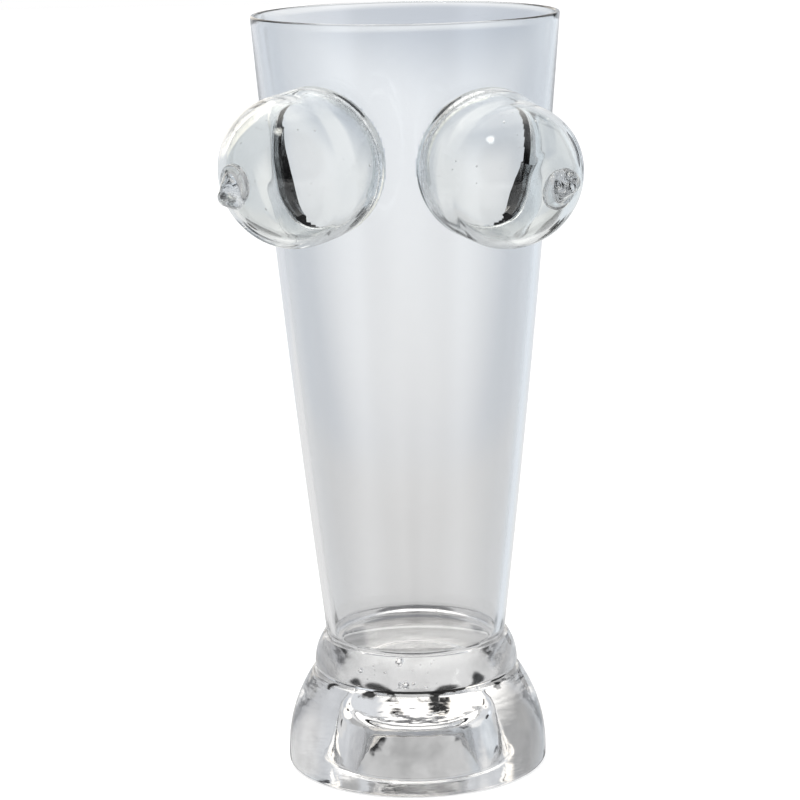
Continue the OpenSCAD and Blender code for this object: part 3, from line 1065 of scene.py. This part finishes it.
def glass_material(name, clear, deep, low, high, edge, cord_scale, wave, marks, even=0.0, cords=0.5, layers=()):
    """Clear glass with waves and handling marks: its tint changes with height and in cords, and is darker edge on."""
    rows = [
        ("body", "ShaderNodeGroup", {"node_tree": character_group()}, {
            "Clear": (*clear, 1), "Deep": (*deep, 1), "Low": low, "High": high, "Cord scale": cord_scale,
            "Marks": marks, "Even": even, "Cords": cords,
        }),
        ("facing", "ShaderNodeLayerWeight", {}, {"Blend": 0.5}),
        ("edges", "ShaderNodeValToRGB", {}, {"Fac": "facing.Facing"}),
        mixed("tint", 1.0, "body.Tint", "edges.Color", "MULTIPLY"),
        ("bump", "ShaderNodeBump", {}, {"Strength": 1.0, "Distance": wave, "Height": "body.Height"}),
    ]
    colour, rough = "tint.Result", "body.Roughness"
    for k, (group, values) in enumerate(layers):
        rows += [
            (f"coat {k}", "ShaderNodeGroup", {"node_tree": group}, values),
            mixed(f"tinted {k}", 1.0, colour, f"coat {k}.Tint", "MULTIPLY"),
            maths(f"dulled {k}", "ADD", rough, f"coat {k}.Roughness"),
        ]
        colour, rough = f"tinted {k}.Result", f"dulled {k}.0"
    rows.append(("shader", "ShaderNodeBsdfPrincipled", {}, {
        "Base Color": colour, "Roughness": rough, "Metallic": 0.0, "IOR": GLASS_IOR, "Transmission Weight": 1.0,
        "Normal": "bump.Normal",
    }))
    material, made = node_material(name, rows)
    knee, knee_share = 0.16, 0.45
    ramp = made["edges"].color_ramp.elements
    ramp[0].color = WHITE
    ramp[1].color = (*edge, 1)
    ramp.new(knee).color = (*(1 - knee_share + knee_share * x for x in edge), 1)
    return material


def painted_dark_edge_material():
    """Glass at the square inner edge of a joint, tinted nearly black and mottled: a painted dark refraction."""
    name = "Fused edge glass"
    return bpy.data.materials.get(name) or glass_material(
        name, (0.35, 0.36, 0.36), (0.01, 0.011, 0.011), low=0.14, high=0.24, edge=(0.6, 0.6, 0.6),
        cord_scale=330, wave=0.00005, marks=0.2, even=0.1, cords=1.6)


def fused_material():
    """The inside of a joint where two pieces of glass have run together: nothing shows of it."""
    name = "Fused seam"
    if name in bpy.data.materials:
        return bpy.data.materials[name]
    shader = ("shader", "ShaderNodeBsdfPrincipled", {}, {"Alpha": 0.0, "Roughness": 0.0})
    return node_material(name, [shader])[0]


# Operators

class PieceOperator:
    """What the operators of the pieces share: their settings and the end of their work."""

    bl_options = {"REGISTER", "UNDO"}

    def settings(self, context):
        scene = context.scene
        return scene.beer_glass_sizes, scene.beer_glass_domes, scene.beer_glass_tints

    def finish(self, name, mesh, *materials):
        points, faces, marks = mesh
        first, *others = materials
        piece = put_piece(name + "_glass", points, faces, marks, [first, fused_material(), *others])
        hand_over(piece, name)


class BEERGLASS_OT_foot(PieceOperator, bpy.types.Operator):
    """Build the foot and the knop"""

    bl_idname = "beerglass.foot"
    bl_label = "Foot and knop"

    def execute(self, context):
        sizes, _, tints = self.settings(context)
        deep, seam, bare = darker(tints.heavy, 0.6), sizes.foot_height, 0.64
        recess = sizes.recess_depth
        # Painted shade: dark patches darken the inside of the recess
        recess_painted_shade = painted_shade(0.5 * recess, recess - 0.001, scale=120, seed=2.0, bare=bare, front=0.0)
        rough = glass_material(
            "Moulded underside", tints.heavy, deep, low=0.0, high=sizes.foot_height, edge=(0.8, 0.8, 0.8),
            cord_scale=200, wave=0.00012, marks=0.15, even=0.04, cords=2.0, layers=[recess_painted_shade])
        # Painted shade: dark broken patches along the seam between foot and knop, heavier on the side that faces the
        # camera
        for name, outline, layer in (
            ("foot", foot_outline, painted_shade(seam - 0.0012, seam + 0.0001, scale=110, seed=5.0, bare=bare, front=4.0)),
            ("knop", knop_outline, painted_shade(seam - 0.0001, seam + 0.0013, scale=80, seed=1.0, bare=bare, front=9.0)),
        ):
            material = glass_material(
                f"Pressed glass {name}", tints.heavy, deep, low=-0.03, high=0.03, edge=(0.84, 0.84, 0.84),
                cord_scale=170, wave=0.00006, marks=0.08, even=0.03, cords=2.2, layers=[layer])
            profile, fused = outline(sizes)
            mesh = spun_solid(profile, ROUND_COLUMNS, fused)
            self.finish(name, with_seeds(*mesh, heavy_seeds(sizes, name)), material, rough)
        return {"FINISHED"}


class BEERGLASS_OT_bowl(PieceOperator, bpy.types.Operator):
    """Build the bowl with its openings into the domes"""

    bl_idname = "beerglass.bowl"
    bl_label = "Bowl"

    def execute(self, context):
        sizes, domes, tints = self.settings(context)
        places = [dome_place(sizes, domes, side) for side in SIDES]
        material = glass_material(
            "Blown bowl glass", tints.bowl_top, tints.bowl_foot, low=0.05, high=sizes.height,
            edge=(0.86, 0.865, 0.87), cord_scale=18, wave=0.00001, marks=0.02)
        # The bowl's second glass is the painted dark refraction at the square edges of its openings
        self.finish("bowl", bowl_solid(sizes, domes, places), material, painted_dark_edge_material())
        return {"FINISHED"}


class BEERGLASS_OT_domes(PieceOperator, bpy.types.Operator):
    """Build the two blown domes with their air bubbles"""

    bl_idname = "beerglass.domes"
    bl_label = "Domes"

    def execute(self, context):
        sizes, domes, tints = self.settings(context)
        for k, side in enumerate(SIDES):
            # The haze layer paints shade in speckles near the joint with the bowl
            material = glass_material(
                f"Seedy blown glass {side}", tints.dome, darker(tints.dome, 0.955), low=0.15, high=0.2,
                edge=(0.88, 0.90, 0.895), cord_scale=70, wave=0.00003, marks=0.03,
                layers=[(haze_and_shade_group(), {"Amount": 0.9})])
            place = dome_place(sizes, domes, side)
            form = [getattr(domes, f"{side}_{what}") for what in ("sag", "belly", "lean")]
            phase, seed = 1.3 + 2.9 * k, 11 + k
            *mesh, cut = dome_solid(sizes, domes, place, phase, *form)
            seeds = dome_seeds(domes, place, cut, domes.seeds, seed)
            self.finish(f"{side}_dome", with_seeds(*mesh, seeds), material)
        return {"FINISHED"}


class BEERGLASS_OT_rings(PieceOperator, bpy.types.Operator):
    """Build the seal rings between the domes and the bowl"""

    bl_idname = "beerglass.rings"
    bl_label = "Seal rings"

    def execute(self, context):
        sizes, domes, tints = self.settings(context)
        for side in SIDES:
            material = glass_material(
                f"Fused seal glass {side}", tints.seal, darker(tints.seal, 0.6), low=0.15, high=0.2,
                edge=(0.6, 0.63, 0.62), cord_scale=700, wave=0.00005, marks=0.1, even=0.18, cords=2.5)
            mesh = ring_solid(sizes, domes, dome_place(sizes, domes, side))
            # The ring's second glass is the painted dark refraction in its bore near the square edge
            self.finish(f"{side}_seal_ring", mesh, material, painted_dark_edge_material())
        return {"FINISHED"}


class BEERGLASS_OT_tips(PieceOperator, bpy.types.Operator):
    """Build the knob tips on the crowns of the domes"""

    bl_idname = "beerglass.tips"
    bl_label = "Tips"

    def execute(self, context):
        sizes, domes, tints = self.settings(context)
        seed_count = 14
        for k, side in enumerate(SIDES):
            material = glass_material(
                f"Fire polished tip {side}", tints.knob, darker(tints.knob, 0.7), low=0.1, high=0.2,
                edge=(0.55, 0.57, 0.57), cord_scale=700, wave=0.00003, marks=0.1, even=0.08, cords=2.0)
            place = dome_place(sizes, domes, side)
            lean = getattr(domes, side + "_lean")
            phase, seed = 0.6 + 1.7 * k, 31 + k
            mesh = tip_solid(domes, place, lean, phase)
            seeds = tip_seeds(domes, place, lean, seed_count, seed)
            self.finish(f"{side}_tip", with_seeds(*mesh, seeds), material)
        return {"FINISHED"}


# Studio

BACKDROP = (0.80, 0.82, 0.85)
RAGGED = 0.05
SENSOR_WIDTH = 36.0
CLIP_NEAR, CLIP_FAR = 0.01, 50.0
GLASS_BOUNCES, GLOSSY_BOUNCES = 32, 16
LAMPS = (
    # name, place, aim, width, tall, power, colour
    ("Top box", (-0.25, -0.35, 0.95), (0, 0, 0.17), 0.35, 0.25, 5.0, (1.0, 0.97, 0.92)),
    ("Right box", (0.75, -0.15, 0.35), (0, 0, 0.15), 0.18, 0.5, 2.5, (0.90, 0.95, 1.0)),
)
CARDS = (
    # turn from behind the glass to the right, height above level, full to, none from (degrees), ragged edge, colour
    (180, 22, 38, 55, False, (0.07, 0.07, 0.075)),
    (0, -90, 76.0, 77.4, False, (0.86, 0.86, 0.86)),
    (0, -68, 20, 30, False, (1.12, 1.12, 1.11)),
    (180, -58, 32, 40, False, (0.22, 0.22, 0.23)),
    (-152, -34, 13, 24, False, (0.55, 0.55, 0.55)),
    (152, -34, 13, 24, False, (0.55, 0.55, 0.55)),
    (-85, -8, 14, 34, False, (0.55, 0.56, 0.58)),
    (85, -8, 14, 34, False, (0.60, 0.63, 0.67)),
    (-50, 24, 13, 24, False, (0.50, 0.50, 0.50)),
    (60, 15, 12, 24, False, (1.03, 1.03, 1.03)),
    (40, -12, 12, 26, False, (0.84, 0.89, 0.94)),
    (0, -24, 5, 9, False, (0.68, 0.68, 0.68)),
    (0, -8.5, 1.3, 6.5, False, (1.0, 1.0, 1.0)),
    (2, -1, 3.5, 7, False, (0.65, 0.68, 0.73)),
    (-15, 62, 18, 38, False, (2.0, 1.96, 1.9)),
    (3, 16, 7, 11, True, (1.5, 1.46, 1.4)),
    (-20, 11, 13, 17, True, (1.7, 1.62, 1.5)),
    (22, 1, 5, 8, True, (1.1, 1.16, 1.24)),
    (33, 3, 6, 8, True, (0.02, 0.02, 0.025)),
    (7, 15, 1.0, 2.2, False, (0.02, 0.02, 0.02)),
    (-7, 17, 2.2, 3.6, False, (0.02, 0.02, 0.02)),
    (-15, -25.5, 6.5, 8, True, (0.003, 0.003, 0.003)),
    (-31, -35, 3, 4.5, True, (0.003, 0.003, 0.003)),
    (20, -27, 7, 8.5, True, (0.003, 0.003, 0.003)),
    (32, -33, 3.5, 5, True, (0.003, 0.003, 0.003)),
    (-133, 62, 2, 7, False, (9.0, 9.0, 8.6)),
)


def sky_world():
    """World: plain white to the camera, and to the glass a pale room with soft cards as spots about a direction."""
    world = bpy.data.worlds.new("Studio")
    world.use_nodes = True
    world.node_tree.nodes.clear()
    rows = [
        ("where", "ShaderNodeTexCoord", {}, {}),
        noise("noise", "where.Generated", 4.0, 3.0),
        vectors("middle", "SUBTRACT", "noise.Color", (0.5, 0.5, 0.5)),
        vectors("bent", "MULTIPLY_ADD", "middle.0", (2 * RAGGED,) * 3, "where.Generated"),
        vectors("unit", "NORMALIZE", "bent.0"),
    ]
    colour = (*BACKDROP, 1)
    for k, (azimuth, climb, full, none, ragged, spot) in enumerate(CARDS):
        a, e = math.radians(azimuth), math.radians(climb)
        axis = (math.sin(a) * math.cos(e), math.cos(a) * math.cos(e), math.sin(e))
        outer, inner = math.cos(math.radians(none)), math.cos(math.radians(full))
        rows += [
            vectors(f"dot {k}", "DOT_PRODUCT", "unit.0" if ragged else "where.Generated", axis),
            ranged(f"mask {k}", f"dot {k}.Value", outer, inner),
            mixed(f"card {k}", f"mask {k}.Result", colour, (*spot, 1)),
        ]
        colour = f"card {k}.Result"
    rows += [
        ("path", "ShaderNodeLightPath", {}, {}),
        mixed("pick", "path.Is Camera Ray", colour, WHITE),
        ("back", "ShaderNodeBackground", {}, {"Color": "pick.Result"}),
        ("out", "ShaderNodeOutputWorld", {}, {"Surface": "back.Background"}),
    ]
    wire(world.node_tree, rows)
    return world


def floor_material(glow):
    """Pale matt floor: its glow makes it white to the camera, and its matt share keeps the shadow of the glass."""
    return node_material("Pale floor", [
        ("path", "ShaderNodeLightPath", {}, {}),
        maths("strength", "MULTIPLY", "path.Is Camera Ray", glow),
        ("shader", "ShaderNodeBsdfPrincipled", {}, {
            "Base Color": (0.45, 0.45, 0.45, 1), "Roughness": 1.0, "Specular IOR Level": 0.0,
            "Emission Color": WHITE, "Emission Strength": "strength.0",
        }),
    ])[0]


def soft_box(name, place, aim, width, tall, power, colour):
    """A soft lamp with a lit rectangle, turned to a point. The glass doesn't show it."""
    lamp = bpy.data.lights.new(name, "AREA")
    lamp.shape, lamp.size, lamp.size_y = "RECTANGLE", width, tall
    lamp.energy, lamp.color = power, colour
    made = bpy.data.objects.new(name, lamp)
    made.location = place
    made.rotation_euler = (Vector(aim) - Vector(place)).to_track_quat("-Z", "Y").to_euler()
    made.visible_glossy = False
    made.visible_transmission = False
    bpy.context.scene.collection.objects.link(made)


class BEERGLASS_OT_studio(bpy.types.Operator):
    """Build the floor, the light and the camera"""

    bl_idname = "beerglass.studio"
    bl_label = "Studio"

    def execute(self, context):
        scene, studio = context.scene, context.scene.beer_glass_studio
        half = studio.floor_size / 2
        corners = np.array([[-half, -half, 0], [half, -half, 0], [-half, half, 0], [half, half, 0]])
        floor = put_piece(
            "studio_floor", corners, [np.array([[0, 1, 3, 2]])], [np.zeros(1)], [floor_material(studio.floor_glow)])
        floor.visible_transmission = False
        floor.visible_glossy = False
        scene.world = sky_world()
        for lamp in LAMPS:
            soft_box(*lamp)
        lens = bpy.data.cameras.new("Camera")
        lens.lens, lens.sensor_width = studio.lens, SENSOR_WIDTH
        lens.clip_start, lens.clip_end = CLIP_NEAR, CLIP_FAR
        camera = bpy.data.objects.new("Camera", lens)
        place = Matrix.Translation((studio.camera_side, -studio.camera_back, studio.camera_height))
        pitch = Matrix.Rotation(math.pi / 2 - studio.camera_pitch, 4, "X")
        camera.matrix_world = place @ (pitch @ Matrix.Rotation(studio.camera_roll, 4, "Z"))
        scene.collection.objects.link(camera)
        scene.camera = camera
        scene.view_settings.view_transform = "Standard"
        scene.cycles.max_bounces = GLASS_BOUNCES
        scene.cycles.transmission_bounces = GLASS_BOUNCES
        scene.cycles.glossy_bounces = GLOSSY_BOUNCES
        scene.cycles.transparent_max_bounces = GLASS_BOUNCES
        return {"FINISHED"}


class BEERGLASS_PT_panel(bpy.types.Panel):
    """Lists the steps and settings of the beer glass"""

    bl_idname = "BEERGLASS_PT_panel"
    bl_label = "Beer glass"
    bl_space_type = "VIEW_3D"
    bl_region_type = "UI"
    bl_category = "Beer glass"

    def draw(self, context):
        for step in STEPS:
            self.layout.operator(step.bl_idname)
        for label, group in GROUPS:
            settings = getattr(context.scene, label)
            box = self.layout.box()
            for key in group.__annotations__:
                box.prop(settings, key)


STEPS = (
    BEERGLASS_OT_foot, BEERGLASS_OT_bowl, BEERGLASS_OT_rings, BEERGLASS_OT_domes, BEERGLASS_OT_tips,
    BEERGLASS_OT_studio,
)
GROUPS = (
    ("beer_glass_sizes", BeerGlassSizes), ("beer_glass_domes", BeerGlassDomes),
    ("beer_glass_tints", BeerGlassTints), ("beer_glass_studio", BeerGlassStudio),
)


def register():
    """Makes the settings, operators and panel known to Blender."""
    for label, group in GROUPS:
        bpy.utils.register_class(group)
        setattr(bpy.types.Scene, label, PointerProperty(type=group))
    for made in (*STEPS, BEERGLASS_PT_panel):
        bpy.utils.register_class(made)


def unregister():
    """Takes them out again."""
    for made in (BEERGLASS_PT_panel, *reversed(STEPS)):
        bpy.utils.unregister_class(made)
    for label, group in reversed(GROUPS):
        delattr(bpy.types.Scene, label)
        bpy.utils.unregister_class(group)


def main():
    register()
    for step in STEPS:
        area, name = step.bl_idname.split(".")
        getattr(getattr(bpy.ops, area), name)()


if __name__ == "__main__":
    main()
